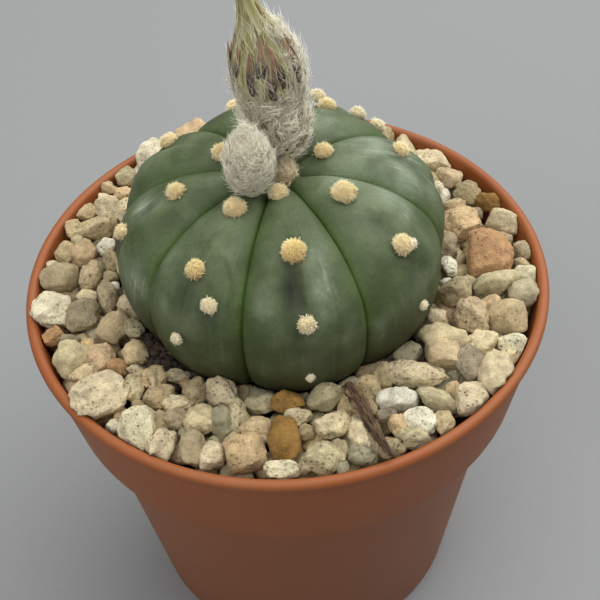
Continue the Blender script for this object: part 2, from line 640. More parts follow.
class WoolLook(bpy.types.PropertyGroup):
    """Amount and size of the wool."""

    tube_hairs: IntProperty(name="Tube hairs", description="Hairs on the flower bud's tube", default=3600,
                            min=100)
    head_hairs: IntProperty(name="Head hairs", description="Hairs on the flower bud's head", default=3000,
                            min=100)
    side_hairs: IntProperty(name="Side bud hairs", description="Hairs on the side bud", default=4200,
                            min=100)
    young_hairs: IntProperty(name="Young bud hairs", description="Hairs on the young bud", default=1100,
                             min=50)
    thickness: FloatProperty(name="Thickness", description="Thickness of a lock of hairs", unit="LENGTH",
                             default=0.1 * MM, precision=5)
    hair: colour_setting("Hair", "#fffae6", "Colour of the buds' hair")
    hair_shade: colour_setting("Hair shade", "#f6edd0", "Colour of the hair's roots")


class StageLook(bpy.types.PropertyGroup):
    """Light, floor and camera."""

    floor: colour_setting("Floor", "#888989", "Colour of the floor")
    key_power: FloatProperty(name="Key light", description="Power of the softbox above", default=21.0)
    fill_power: FloatProperty(name="Fill light", description="Power of the light over the front",
                              default=4.8)
    room_light: FloatProperty(name="Room light", description="Strength of the light from all round",
                              default=0.33)
    lens: FloatProperty(name="Lens", description="Focal length in mm on a 36 mm wide frame", default=64.44)
    elevation: FloatProperty(name="Elevation", description="Height of the camera over the rim, as an angle",
                             subtype="ANGLE", default=math.radians(44.72))
    distance: FloatProperty(name="Distance", description="From the camera to the middle of the rim",
                            unit="LENGTH", default=186.5 * MM)
    roll: FloatProperty(name="Roll", description="Camera roll", subtype="ANGLE",
                        default=math.radians(4.139))
    pan: FloatProperty(name="Pan", description="Camera pan", subtype="ANGLE", default=math.radians(0.623))
    tilt: FloatProperty(name="Tilt", description="Camera tilt", subtype="ANGLE",
                        default=math.radians(1.727))


def terracotta_plastic(look):
    """Polypropylene, injection moulded: even colour, satin, with faint dust and rubbed marks."""
    material = new_material("moulded_polypropylene")
    place = add_node(material, "TexCoord").outputs["Object"]
    # Cloudy dust patches about 12 mm wide and rubbed specks about 0.8 mm wide
    cloud = add_node(material, "TexNoise", place, Scale=80.0, Detail=4.0)
    speck = add_node(material, "TexNoise", place, Scale=1250.0, Detail=2.0)
    dusty = add_node(material, "MapRange", cloud, From_Min=0.45, From_Max=0.8, To_Max=0.1)
    marks = add_node(material, "MapRange", speck, From_Min=0.68, From_Max=0.8, To_Max=0.25)
    strewn = add_node(material, "Math", dusty, marks, operation="ADD")
    # The wall under the collar is a little more scuffed and dusty
    height = add_node(material, "SeparateXYZ", place).outputs["Z"]
    under = add_node(material, "MapRange", height, From_Min=COLLAR_FOOT,
                     From_Max=COLLAR_FOOT - 0.5 * COLLAR_HEIGHT, To_Max=0.07)
    amount = add_node(material, "Math", strewn, under, operation="ADD")
    colour = add_node(material, "Mix", amount, look.plastic, look.dust, data_type="RGBA")
    # Moulding grain about 0.3 mm wide
    grain = add_node(material, "TexNoise", place, Scale=3300.0, Detail=1.0)
    bump = add_node(material, "Bump", Height=grain, Strength=0.12, Distance=0.05 * MM)
    rough = add_node(material, "MapRange", cloud, To_Min=0.46, To_Max=0.62)
    shader = add_node(material, "BsdfPrincipled", Base_Color=colour, Roughness=rough,
                      Specular_IOR_Level=0.35, Normal=bump)
    add_node(material, "OutputMaterial", Surface=shader)
    return material


def potting_soil():
    """Damp peat and composted bark: near black, crumbly, with a few brown fibres."""
    material = new_material("damp_peat_soil")
    place = add_node(material, "TexCoord").outputs["Object"]
    # Crumbs about 0.6 mm wide
    crumb = add_node(material, "TexVoronoi", place, Scale=1500.0)
    cloud = add_node(material, "TexNoise", place, Scale=420.0, Detail=5.0)
    colour = add_node(material, "Mix", cloud, "#14100c", "#4a3a2c", data_type="RGBA")
    bump = add_node(material, "Bump", Height=crumb, Strength=0.8, Distance=0.4 * MM)
    shader = add_node(material, "BsdfPrincipled", Base_Color=colour, Roughness=0.92, Normal=bump)
    add_node(material, "OutputMaterial", Surface=shader)
    return material


def sieved_pumice():
    """Dry volcanic pumice, broken and sieved: dull, grainy, with small dark pores.

    The attribute "tint" holds each stone's colour, and how porous it is as its alpha.
    """
    material = new_material("sieved_pumice")
    place = add_node(material, "TexCoord").outputs["Object"]
    tint = add_node(material, "Attribute", attribute_name="tint")
    # Clouds about 2 mm wide, grit about 0.2 mm wide, pores about 0.3 mm wide in patches
    cloud = add_node(material, "TexNoise", place, Scale=520.0, Detail=5.0, Roughness=0.65)
    grit = add_node(material, "TexNoise", place, Scale=4200.0, Detail=3.0, Roughness=0.8)
    pores = add_node(material, "TexVoronoi", place, Scale=1250.0, Randomness=1.0)
    stain = add_node(material, "MapRange", cloud, From_Min=0.3, From_Max=0.7, To_Min=0.68, To_Max=1.18)
    specks = add_node(material, "MapRange", grit, From_Min=0.3, From_Max=0.62, To_Min=0.62, To_Max=1.14)
    shade = add_node(material, "Math", stain, specks, operation="MULTIPLY")
    hole = add_node(material, "MapRange", pores, From_Min=0.14, From_Max=0.34, To_Min=1.0, To_Max=0.0)
    patchy = add_node(material, "MapRange", cloud, From_Min=0.45, From_Max=0.65, To_Min=0.9, To_Max=0.0)
    some = add_node(material, "Math", patchy, tint.outputs["Alpha"], operation="MULTIPLY")
    porous = add_node(material, "Math", hole, some, operation="MULTIPLY")
    stone = add_node(material, "VectorMath", tint, shade, operation="SCALE")
    colour = add_node(material, "Mix", porous, stone, "#66553d", data_type="RGBA")
    relief = add_node(material, "Math", grit, porous, operation="SUBTRACT")
    bump = add_node(material, "Bump", Height=relief, Strength=1.0, Distance=0.3 * MM)
    shader = add_node(material, "BsdfPrincipled", Base_Color=colour, Roughness=0.93,
                      Specular_IOR_Level=0.3, Normal=bump)
    add_node(material, "OutputMaterial", Surface=shader)
    return material


def bark():
    """Dead pine bark and wood fibre: dark, split along its grain, with bleached strands.

    The attribute "tint" holds the place round the strip, the place along it, and how far a point
    stands out.
    """
    material = new_material("weathered_bark")
    tint = add_node(material, "Attribute", attribute_name="tint")
    place = add_node(material, "TexCoord").outputs["Object"]
    drawn = add_node(material, "Mapping", tint.outputs["Vector"], Scale=(14.0, 4.0, 3.0))
    # Fibres about 0.3 mm wide that run along the strip
    fibre = add_node(material, "TexNoise", drawn, Scale=2.2, Detail=5.0, Roughness=0.65)
    cloud = add_node(material, "TexNoise", place, Scale=500.0, Detail=3.0)
    ridge = add_node(material, "MapRange", tint.outputs["Alpha"], From_Min=0.75, From_Max=1.5)
    strand = add_node(material, "MapRange", fibre, From_Min=0.3, From_Max=0.7, To_Max=1.4)
    pale = add_node(material, "Math", ridge, strand, operation="MULTIPLY", use_clamp=True)
    dark = add_node(material, "Mix", cloud, "#1a120d", "#543b28", data_type="RGBA")
    colour = add_node(material, "Mix", pale, dark, "#93774f", data_type="RGBA")
    bump = add_node(material, "Bump", Height=fibre, Strength=0.9, Distance=0.25 * MM)
    shader = add_node(material, "BsdfPrincipled", Base_Color=colour, Roughness=0.85, Normal=bump)
    add_node(material, "OutputMaterial", Surface=shader)
    return material


def waxy_skin(look):
    """Living cactus skin under a thin wax bloom: satin, dark green, greyer on the crests.

    The attribute "tint" holds how near a seam a point is, how far down the body, how near an
    areole, and how deep in a crest's crease. The attribute "mark" holds how pale or dark a patch
    is, and "streak" a place that changes slowly down a rib.
    """
    material = new_material("waxy_cactus_skin")
    place = add_node(material, "TexCoord").outputs["Object"]
    tint = add_node(material, "Attribute", attribute_name="tint")
    side, down, near = add_node(material, "SeparateColor", tint).outputs
    streak = add_node(material, "Attribute", attribute_name="streak")
    drawn = add_node(material, "Mapping", streak.outputs["Vector"], Scale=(26.0, 26.0, 5.0))
    # Bloom in patches about 5 mm wide, fine mottling about 0.5 mm wide, streaks down the ribs
    patch = add_node(material, "TexNoise", place, Scale=190.0, Detail=4.0)
    mottle = add_node(material, "TexNoise", place, Scale=1900.0, Detail=3.0)
    lines = add_node(material, "TexNoise", drawn, Scale=1.0, Detail=4.0, Roughness=0.6)
    crest = add_node(material, "MapRange", side, From_Min=0.85, From_Max=0.1, To_Max=0.6)
    patches = add_node(material, "MapRange", patch, From_Min=0.35, From_Max=0.65, To_Min=0.1, To_Max=1.2)
    bloom = add_node(material, "Math", crest, patches, operation="MULTIPLY", use_clamp=True)
    ribs = add_node(material, "Mix", bloom, look.skin, look.bloom, data_type="RGBA")
    groove = add_node(material, "MapRange", side, From_Min=0.84, To_Max=0.65,
                      interpolation_type="SMOOTHSTEP")
    seams = add_node(material, "Mix", groove, ribs, look.seam, data_type="RGBA")
    low = add_node(material, "MapRange", down, From_Min=0.43, From_Max=0.6, To_Max=0.85,
                   interpolation_type="SMOOTHSTEP")
    aged = add_node(material, "Mix", low, seams, look.base, data_type="RGBA")
    # Pale and dark patches with cloudy edges, and fine scratches where the wax is rubbed
    mark = add_node(material, "Attribute", attribute_name="mark").outputs["Fac"]
    cloudy = add_node(material, "MapRange", patch, From_Min=0.35, From_Max=0.6, To_Min=0.45, To_Max=1.1)
    pale_mark = add_node(material, "Math", mark, cloudy, operation="MULTIPLY", use_clamp=True)
    rubbed = add_node(material, "MapRange", pale_mark, To_Max=0.55)
    waxed = add_node(material, "Mix", rubbed, aged, "#8c9682", data_type="RGBA")
    scars = add_node(material, "MapRange", lines, From_Min=0.58, From_Max=0.68)
    rubs = add_node(material, "MapRange", pale_mark, From_Min=0.1, From_Max=0.8, To_Min=0.05, To_Max=0.6)
    scratch = add_node(material, "Math", scars, rubs, operation="MULTIPLY")
    marked = add_node(material, "Mix", scratch, waxed, "#b0b8a4", data_type="RGBA")
    # Dark patches, the crease on a crest, and the dent round an areole
    dark_mark = add_node(material, "Math", mark, -1.0, operation="MULTIPLY", use_clamp=True)
    sunk = add_node(material, "Math", dark_mark, tint.outputs["Alpha"], operation="MAXIMUM")
    deep = add_node(material, "MapRange", sunk, To_Min=1.0, To_Max=0.32)
    under = add_node(material, "MapRange", near, To_Min=1.0, To_Max=0.8)
    shadow = add_node(material, "Math", deep, under, operation="MULTIPLY")
    fine = add_node(material, "MapRange", mottle, From_Min=0.3, From_Max=0.7, To_Min=0.88, To_Max=1.1)
    blotch = add_node(material, "MapRange", patch, From_Min=0.35, From_Max=0.6, To_Min=0.78, To_Max=1.08)
    blotchy = add_node(material, "Math", shadow, blotch, operation="MULTIPLY")
    shade = add_node(material, "Math", blotchy, fine, operation="MULTIPLY")
    colour = add_node(material, "VectorMath", marked, shade, operation="SCALE")
    relief = add_node(material, "Math", mottle, lines, operation="ADD")
    bump = add_node(material, "Bump", Height=relief, Strength=0.25, Distance=0.08 * MM)
    shader = add_node(material, "BsdfPrincipled", Base_Color=colour, Roughness=0.62, IOR=1.4, Normal=bump)
    add_node(material, "OutputMaterial", Surface=shader)
    return material


def plant_wool(name, tip, root, white=None):
    """Plant wool: dull soft hairs, darker at the root.

    The attribute "tint" holds the place along a hair, a random number for it, and how yellow it
    is, between the white colour and the hair's own, where a white is given.
    """
    material = new_material(name)
    tint = add_node(material, "Attribute", attribute_name="tint")
    along, chance, yellow = add_node(material, "SeparateColor", tint).outputs
    grown = add_node(material, "MapRange", along, From_Min=0.05, From_Max=0.6)
    colour = add_node(material, "Mix", grown, root, tip, data_type="RGBA")
    if white is not None:
        colour = add_node(material, "Mix", yellow, white, colour, data_type="RGBA")
    varied = add_node(material, "MapRange", chance, To_Min=0.88)
    shaded = add_node(material, "VectorMath", colour, varied, operation="SCALE")
    shader = add_node(material, "BsdfPrincipled", Base_Color=shaded, Roughness=0.9, Specular_IOR_Level=0.2)
    add_node(material, "OutputMaterial", Surface=shader)
    return material


def matted_felt(name, pale, dark):
    """Matted plant wool close to the skin: pale fibres with short dark gaps along the bud."""
    material = new_material(name)
    place = add_node(material, "TexCoord").outputs["Object"]
    # Fibres about 0.25 mm wide and four times as long, gaps about 1 mm wide
    drawn = add_node(material, "Mapping", place, Scale=(4000.0, 4000.0, 1000.0))
    fibre = add_node(material, "TexNoise", drawn, Scale=1.0, Detail=3.0, Distortion=1.5)
    parted = add_node(material, "Mapping", place, Scale=(1000.0, 1000.0, 300.0))
    gaps = add_node(material, "TexNoise", parted, Scale=1.0, Detail=3.0, Distortion=0.6)
    both = add_node(material, "Math", fibre, gaps, operation="ADD")
    amount = add_node(material, "MapRange", both, From_Min=0.86, From_Max=1.04)
    colour = add_node(material, "Mix", amount, dark, pale, data_type="RGBA")
    bump = add_node(material, "Bump", Height=both, Strength=0.8, Distance=0.25 * MM)
    shader = add_node(material, "BsdfPrincipled", Base_Color=colour, Roughness=0.9,
                      Specular_IOR_Level=0.2, Normal=bump)
    add_node(material, "OutputMaterial", Surface=shader)
    return material


def dry_scale(name, pale, green, dark, foot=None):
    """Thin dry bud scales: green along the blade, with a brown midrib and a dark pointed tip.

    Where a foot colour is given, the lower part of each scale has it. The attribute "tint" holds
    the place along a scale, the place across it, and a random number.
    """
    material = new_material(name)
    tint = add_node(material, "Attribute", attribute_name="tint")
    along, across, chance = add_node(material, "SeparateColor", tint).outputs
    drawn = add_node(material, "Mapping", tint.outputs["Vector"], Scale=(3.0, 22.0, 40.0))
    veins = add_node(material, "TexNoise", drawn, Scale=1.0, Detail=3.0)
    edge = add_node(material, "MapRange", across, From_Min=0.25, From_Max=0.95)
    blade = add_node(material, "Mix", edge, green, pale, data_type="RGBA")
    rib = add_node(material, "MapRange", across, From_Min=0.45, From_Max=0.1, To_Max=0.9)
    vein = add_node(material, "MapRange", veins, From_Min=0.4, From_Max=0.65)
    streak = add_node(material, "Math", rib, vein, operation="MULTIPLY")
    tip = add_node(material, "MapRange", along, From_Min=0.55, From_Max=0.95, To_Max=0.9)
    browning = add_node(material, "Math", tip, chance, operation="MULTIPLY")
    thread = add_node(material, "MapRange", veins, From_Min=0.5, From_Max=0.7, To_Max=0.7)
    # A scale in four is brown nearly all over, and a dry dark line runs along both edges
    brown = add_node(material, "MapRange", chance, From_Min=0.72, To_Max=0.7)
    rim = add_node(material, "MapRange", across, From_Min=0.8, From_Max=0.97, To_Max=0.9)
    dryness = streak
    for dry in (browning, thread, brown, rim):
        dryness = add_node(material, "Math", dryness, dry, operation="MAXIMUM")
    colour = add_node(material, "Mix", dryness, blade, dark, data_type="RGBA")
    if foot is not None:
        low = add_node(material, "MapRange", along, From_Min=0.7, From_Max=0.25)
        colour = add_node(material, "Mix", low, colour, foot, data_type="RGBA")
    shader = add_node(material, "BsdfPrincipled", Base_Color=colour, Roughness=0.6)
    add_node(material, "OutputMaterial", Surface=shader)
    return material


def matt_paper(look):
    """Matt card: an even, slightly fibrous pale grey."""
    material = new_material("matt_card")
    place = add_node(material, "TexCoord").outputs["Object"]
    # Fibres about 1 mm wide
    fibre = add_node(material, "TexNoise", place, Scale=900.0, Detail=2.0)
    level = add_node(material, "MapRange", fibre, To_Min=0.97, To_Max=1.03)
    colour = add_node(material, "VectorMath", look.floor[:], level, operation="SCALE")
    shader = add_node(material, "BsdfPrincipled", Base_Color=colour, Roughness=0.9, Specular_IOR_Level=0.2)
    add_node(material, "OutputMaterial", Surface=shader)
    return material


def pot_profile():
    """Outline of the pot's wall from the inner floor over the lip to the underside."""
    lip = (RIM_RADIUS - LIP_RADIUS, POT_HEIGHT - LIP_RADIUS)
    return [
        (FLOOR_MIDDLE, BASE_RECESS + WALL),
        *inner_wall(),
        *arc(lip, LIP_RADIUS, 165.0, -58.0, 14),
        (COLLAR_TOP_RADIUS + 0.1 * MM, POT_HEIGHT - 1.9 * MM),
        (COLLAR_TOP_RADIUS, POT_HEIGHT - 3.0 * MM),
        (COLLAR_FOOT_RADIUS, COLLAR_FOOT + 0.7 * MM),
        (COLLAR_FOOT_RADIUS - 0.6 * MM, COLLAR_FOOT),
        (BODY_TOP_RADIUS + 0.6 * MM, COLLAR_FOOT - 0.6 * MM),
        (BODY_TOP_RADIUS, COLLAR_FOOT - 1.6 * MM),
        (FOOT_RADIUS, 1.4 * MM),
        (FOOT_RADIUS - 0.8 * MM, 0.0),
        (FOOT_RADIUS - FOOT_RING_WIDTH, 0.0),
        (FOOT_RADIUS - FOOT_RING_WIDTH - 0.6 * MM, BASE_RECESS),
        (FLOOR_MIDDLE, BASE_RECESS),
    ]


class CACTUS_OT_pot(bpy.types.Operator):
    """Model the moulded plastic pot with its rolled lip, collar, foot ring and drain holes"""

    bl_idname = "potted_cactus.pot"
    bl_label = "Moulded pot"

    def execute(self, context):
        pot = turned("moulded_pot", pot_profile(), POT_SEGMENTS)
        cutters = []
        for index in range(DRAIN_COUNT):
            place = round_axis(2.0 * math.pi * index / DRAIN_COUNT, DRAIN_CIRCLE, BASE_RECESS)
            cutters.append(added(bpy.ops.mesh.primitive_cylinder_add, vertices=32, radius=DRAIN_RADIUS,
                                 depth=4.0 * BASE_RECESS, location=tuple(place)))
        cutter = joined("drain_cutter", cutters)
        apply_modifier(pot, "BOOLEAN", operation="DIFFERENCE", object=cutter)
        remove(cutter)
        # The corners of a moulded pot are eased by a few tenths of a millimetre
        apply_modifier(pot, "BEVEL", width=0.35 * MM, segments=3, limit_method="ANGLE",
                       angle_limit=math.radians(28.0))
        bpy.ops.object.select_all(action="DESELECT")
        pot.select_set(True)
        bpy.ops.object.shade_smooth_by_angle(angle=math.radians(40.0))
        attach(pot, terracotta_plastic(context.scene.cactus_pot), "pot_plastic", "pot")
        return {"FINISHED"}


class CACTUS_OT_soil(bpy.types.Operator):
    """Give the potting soil its finish and strew soil crumbs where it shows by the cactus"""

    bl_idname = "potted_cactus.soil"
    bl_label = "Potting soil"

    def execute(self, context):
        material = potting_soil()
        soil = frame["nodes"]["soil"]
        soil.data.materials.clear()
        soil.data.materials.append(material)
        crumb = added(bpy.ops.mesh.primitive_ico_sphere_add, subdivisions=1, radius=1.0)
        directions = places_of(crumb)
        rng = random.Random(CRUMB_SEED)
        shaped = []
        for azimuth, distance, spread, count in SOIL_PATCHES:
            for index in range(count):
                turn = math.radians(azimuth) + rng.gauss(0.0, spread) / distance
                reach = (distance + rng.gauss(0.0, 0.6 * spread)) * MM
                size = rng.uniform(0.35, 1.3) * MM
                level = STONE_LEVEL - rng.uniform(0.2, 2.6) * MM
                bumps = 1.0 + 0.5 * uneven(directions, 1.4, [90.0 * rng.random() for axis in range(3)])
                form = directions * bumps[:, None] * (size, size * rng.uniform(0.5, 1.0), 0.6 * size)
                shaped.append(form + round_axis(turn, reach, level))
        crumbs = copied("soil_crumbs", crumb, np.array(shaped))
        move_to(crumbs, pressed(places_of(crumbs)))
        remove(crumb)
        attach(crumbs, material, "soil")
        return {"FINISHED"}


def stone_size(stone):
    """Mean of a stone's width and depth."""
    return 0.5 * (stone[2] + stone[3])


def apart(stone, x, y):
    """Distance of a stone or a bare patch from a place."""
    return math.hypot(x - stone[0], y - stone[1])


def tried_places(rng, tries, largest, smallest, inner, outer):
    """Random places round the axis, each with the size of stone to try there, large ones first."""
    for attempt in range(tries):
        angle = rng.uniform(0.0, 2.0 * math.pi)
        distance = math.sqrt(rng.uniform(inner ** 2, outer ** 2))
        size = largest + (smallest - largest) * attempt / tries
        yield distance * math.cos(angle), distance * math.sin(angle), size


def spot(azimuth, distance):
    """Place seen from above, by azimuth in degrees and distance from the axis in mm."""
    angle = math.radians(azimuth)
    return distance * MM * math.cos(angle), distance * MM * math.sin(angle)


def top_stones():
    """Place, size, turn and kind of the top stones: those that the photo shows, then a seeded fill."""
    stones = [(*spot(azimuth, distance), width * MM, depth * MM, turn, tone)
              for azimuth, distance, width, depth, turn, tone in LANDMARK_STONES]
    bare = [(*spot(azimuth, distance), 1.4 * spread * MM)
            for azimuth, distance, spread, crumbs in SOIL_PATCHES]
    rng = random.Random(FILL_SEED)
    tried = tried_places(rng, FILL_TRIES, FILL_LARGEST, FILL_SMALLEST, FILL_INNER, FILL_OUTER)
    for x, y, size in tried:
        stretch = rng.uniform(0.8, 1.25)
        turn = rng.uniform(-90.0, 90.0)
        if any(apart(patch, x, y) < patch[2] for patch in bare):
            continue
        if all(apart(other, x, y) > FILL_SPACING * (size + stone_size(other)) for other in stones):
            tone = FILL_TONES[len(stones) * 7 % len(FILL_TONES)]
            stones.append((x, y, size * stretch, size / stretch, turn, tone))
    return stones


def lower_stones():
    """Place, size, turn and kind of the stones under the top ones, which show in the gaps."""
    rng = random.Random(LOWER_SEED)
    stones = []
    tried = tried_places(rng, LOWER_TRIES, LOWER_LARGEST, LOWER_SMALLEST, LOWER_INNER, LOWER_OUTER)
    for x, y, size in tried:
        if all(apart(other, x, y) > LOWER_SPACING * size for other in stones):
            tone = FILL_TONES[len(stones) * 5 % len(FILL_TONES)]
            stones.append((x, y, size * rng.uniform(0.9, 1.1), size, 0.0, tone))
    return stones


def stone_level(x, y, size):
    """Height of a stone's middle: large stones sit higher, the back right low, the back left heaped."""
    dip = DIP_DEPTH * min(1.0, max(0.0, (x + y - DIP_START) / DIP_REACH))
    heap = HEAP_HEIGHT * math.exp(-(apart(HEAP_PLACE, x, y) / HEAP_RADIUS) ** 2)
    return STONE_LEVEL - STONE_SINK + 0.2 * size - dip + heap


def stone_form(directions, index, stone, drop):
    """One stone's surface, broken and crumbled, and how deep each point lies in it."""
    x, y, width, depth, turn, tone = stone
    rng = random.Random(FORM_SEED + index)
    size = stone_size(stone)
    thickness = size * rng.uniform(0.74, 0.92)
    lift = rng.uniform(-0.3, 0.3) * MM
    seed = (index * 1.7, index * 5.3, index * 2.9)
    worn = tone in ("pale", "white")
    swells = 1.0 + 0.22 * uneven(directions, 1.1, (index * 7.3, index * 3.1, index * 5.7))
    coarse = uneven(directions, 2.3, seed)
    points = directions * (1.08 * swells + rng.uniform(0.1, 0.22) * coarse)[:, None]
    # Broken faces, fewer on worn stones
    for chip in range(rng.randint(2, 4) if worn else rng.randint(4, 8)):
        normal = unit(np.array([rng.gauss(0.0, 1.0) for axis in range(3)]))
        over = points @ normal - rng.uniform(0.66, 0.92)
        points -= np.clip(over, 0.0, None)[:, None] * normal * rng.uniform(0.6, 0.9)
    # Dents, more of them on the upper side
    dented = np.zeros(len(points))
    for dent in range(rng.randint(2, 5)):
        middle = unit(np.array([rng.gauss(upward, 1.0) for upward in (0.0, 0.0, 0.3)]))
        spread = rng.uniform(0.15, 0.45)
        closeness = np.exp(-np.sum((directions - middle) ** 2, axis=1) / spread ** 2)
        dented += rng.uniform(0.05, 0.13) * closeness
    # Crumbled grain about 0.7 mm and finer, at the same size on every stone
    pitch = size / GRAIN_PITCH
    rough = np.array([noise.fractal(Vector(point) * pitch + Vector(seed), 0.8, 2.1, 5) for point in points])
    relief = (0.05 if worn else rng.uniform(0.06, 0.1)) * min(1.0, FULL_GRAIN / size) * rough
    points = points * (1.0 - dented + relief)[:, None] * (0.5 * width, 0.5 * depth, 0.5 * thickness)
    lean = Matrix.Rotation(math.radians(turn), 3, "Z") @ Matrix.Rotation(rng.uniform(-0.25, 0.25), 3, "X")
    points = points @ np.array(lean @ Matrix.Rotation(rng.uniform(-0.25, 0.25), 3, "Y")).T
    depths = dented * 1.6 - 2.2 * relief - 0.1 * coarse
    return points + (x, y, stone_level(x, y, size) + lift - drop), depths


def pressed(points):
    """Points kept off the pot's wall, the cactus and the bark strip."""
    points = points.copy()
    radii, levels = np.array(inner_wall()).T
    limit = np.interp(points[:, 2], levels, radii) - STONE_GAP
    limit = np.where(points[:, 2] > POT_HEIGHT + 0.1 * MM, RIM_RADIUS, limit)
    reach = np.hypot(points[:, 0], points[:, 1])
    points[:, :2] *= np.minimum(1.0, limit / reach)[:, None]

    local = points - BODY_CENTRE
    azimuths = np.degrees(np.arctan2(local[:, 1], local[:, 0]))
    below = local[:, 2] < 0.0
    share = np.where(below, -local[:, 2] / BELLY_DEPTH, local[:, 2] / CROWN_HEIGHT).clip(0.0, 1.0)
    power = np.where(below, BELLY_POWER, CROWN_POWER)
    bare = BODY_RADIUS * (1.0 - share ** power) ** (1.0 / power)
    limit = bare + rib_relief(azimuths, bare, 90.0) + STONE_GAP
    reach = np.hypot(local[:, 0], local[:, 1])
    push = np.maximum(1.0, limit / np.maximum(reach, 1.0 * MM))
    points[:, :2] = BODY_CENTRE[:2] + local[:, :2] * push[:, None]

    for start, end, low, high in zip(TWIG_LINE, TWIG_LINE[1:], TWIG_TAPER, TWIG_TAPER[1:]):
        along = end - start
        share = ((points - start) @ along / (along @ along)).clip(0.0, 1.0)
        nearest = start + share[:, None] * along
        offset = points - nearest
        clear = TWIG_RADIUS * (low + (high - low) * share) + 0.1 * MM
        push = np.maximum(1.0, clear / np.maximum(np.linalg.norm(offset, axis=1), 0.01 * MM))
        points = nearest + offset * push[:, None]
    return points


def gravel_layer(name, stones, template, drop):
    """A layer of numbered stones as one piece, each stone with its own form and colour."""
    directions = places_of(template)
    shaped, tints = [], []
    for number, stone in stones:
        rng = random.Random(TONE_SEED + number)
        form, depths = stone_form(directions, number, stone, drop)
        shaped.append(pressed(form))
        colour = np.array(linear(STONE_TONES[stone[5]])) * rng.uniform(0.88, 1.08)
        colour[2] *= rng.uniform(0.93, 1.03)
        shade = np.clip(1.0 - depths, 0.55, 1.15)
        porosity = np.full(len(shade), rng.uniform(0.0, 1.0))
        tints.append((*colour[:, None] * shade, porosity))
    return copied(name, template, np.array(shaped), *np.array(tints).transpose(1, 0, 2))


class CACTUS_OT_gravel(bpy.types.Operator):
    """Lay the pumice gravel in two layers, each stone with its own broken form"""

    bl_idname = "potted_cactus.gravel"
    bl_label = "Pumice gravel"

    def execute(self, context):
        material = sieved_pumice()
        top = list(enumerate(top_stones()))
        large = [item for item in top if stone_size(item[1]) > LARGE_STONE]
        small = [item for item in top if stone_size(item[1]) <= SMALL_STONE]
        middle = [item for item in top if SMALL_STONE < stone_size(item[1]) <= LARGE_STONE]
        lower = list(enumerate(lower_stones(), FIRST_LOWER))
        for name, stones, subdivisions, drop in (
                ("gravel_large", large, 5, 0.0), ("gravel_middle", middle, 4, 0.0),
                ("gravel_small", small, 3, 0.0), ("gravel_lower", lower, 3, LOWER_DROP)):
            ball = added(bpy.ops.mesh.primitive_ico_sphere_add, subdivisions=subdivisions, radius=1.0)
            attach(gravel_layer(name, stones, ball, drop), material, "gravel", "gravel")
            remove(ball)
        return {"FINISHED"}


class CACTUS_OT_twig(bpy.types.Operator):
    """Model the strip of dark bark that lies on the gravel"""

    bl_idname = "potted_cactus.twig"
    bl_label = "Bark strip"

    def execute(self, context):
        profile = [(1.0, index / TWIG_ROWS) for index in range(TWIG_ROWS + 1)]
        strip = turned("bark_strip", profile, TWIG_SIDES)
        bar = places_of(strip)
        turn, share = np.arctan2(bar[:, 1], bar[:, 0]), bar[:, 2]
        line = smooth_line(TWIG_LINE, 12)
        along = unit(along_line(line, share + 0.01) - along_line(line, share - 0.01))
        side = unit(np.cross(along, UP))
        rise = np.cross(side, along)
        ridges = np.full(len(bar), 0.88)
        for height, close, fast, wind in TWIG_RIDGES:
            wound = round_axis(turn + wind * share, close, fast * share + 4.0 * wind)
            ridges += height * uneven(wound, 1.0)
        tapers = np.interp(share, np.linspace(0.0, 1.0, len(TWIG_TAPER)), TWIG_TAPER)
        radius = (TWIG_RADIUS * tapers * ridges)[:, None]
        across = side * radius * 1.12 * np.cos(turn)[:, None] + rise * radius * 0.8 * np.sin(turn)[:, None]
        move_to(strip, along_line(line, share) + across)
        give_tint(strip.data, np.cos(turn), np.sin(turn), share, ridges)
        strip.data.shade_smooth()

        # Splintered fibres along the strip and past its lower end
        hair = turned("fibre", FIBRE_PROFILE, 4)
        rng = np.random.default_rng(FIBRE_SEED)
        share = rng.uniform(0.0, 0.8, FIBRE_COUNT)
        angle = rng.uniform(-0.4, math.pi + 0.4, FIBRE_COUNT)[:, None]
        roots = along_line(line, share)
        heading = unit(along_line(line, share + 0.03) - roots)
        side = unit(np.cross(heading, UP))
        out = side * np.cos(angle) + np.cross(side, heading) * np.sin(angle)
        lengths = rng.uniform(1.6, 4.2, FIBRE_COUNT) * MM * np.where(share > 0.6, 0.6, 1.0)
        bends = out * rng.uniform(-0.1, 0.12, FIBRE_COUNT)[:, None] * lengths[:, None]
        widths = rng.uniform(0.05, 0.14, FIBRE_COUNT) * MM
        shaped = laid(hair, roots + out * 0.72 * TWIG_RADIUS, heading, out, lengths, bends, widths)
        fibres = copied("bark_fibres", hair, shaped, *rng.random((3, FIBRE_COUNT, 1)), 1.0)
        remove(hair)
        attach(joined("bark_strip", [strip, fibres]), bark(), "bark", "bark_twig")
        return {"FINISHED"}


def gaps_to(places, others):
    """Distance from each place to the nearest of the others."""
    return np.linalg.norm(places[:, None] - others[None], axis=2).min(axis=1)


def skin_marks(azimuths, angles, reach):
    """How pale the skin's patches are, or how dark where below zero."""
    marks = np.zeros(len(azimuths))
    for azimuth, angle, across, along, amount in SKIN_MARKS:
        turn = (azimuths - azimuth + 180.0) % 360.0 - 180.0
        wide = np.radians(turn) * reach / (across * MM)
        far = np.radians(angles - angle) * SKIN_REACH / along
        marks += amount * np.exp(-wide ** 2 - far ** 2)
    return marks


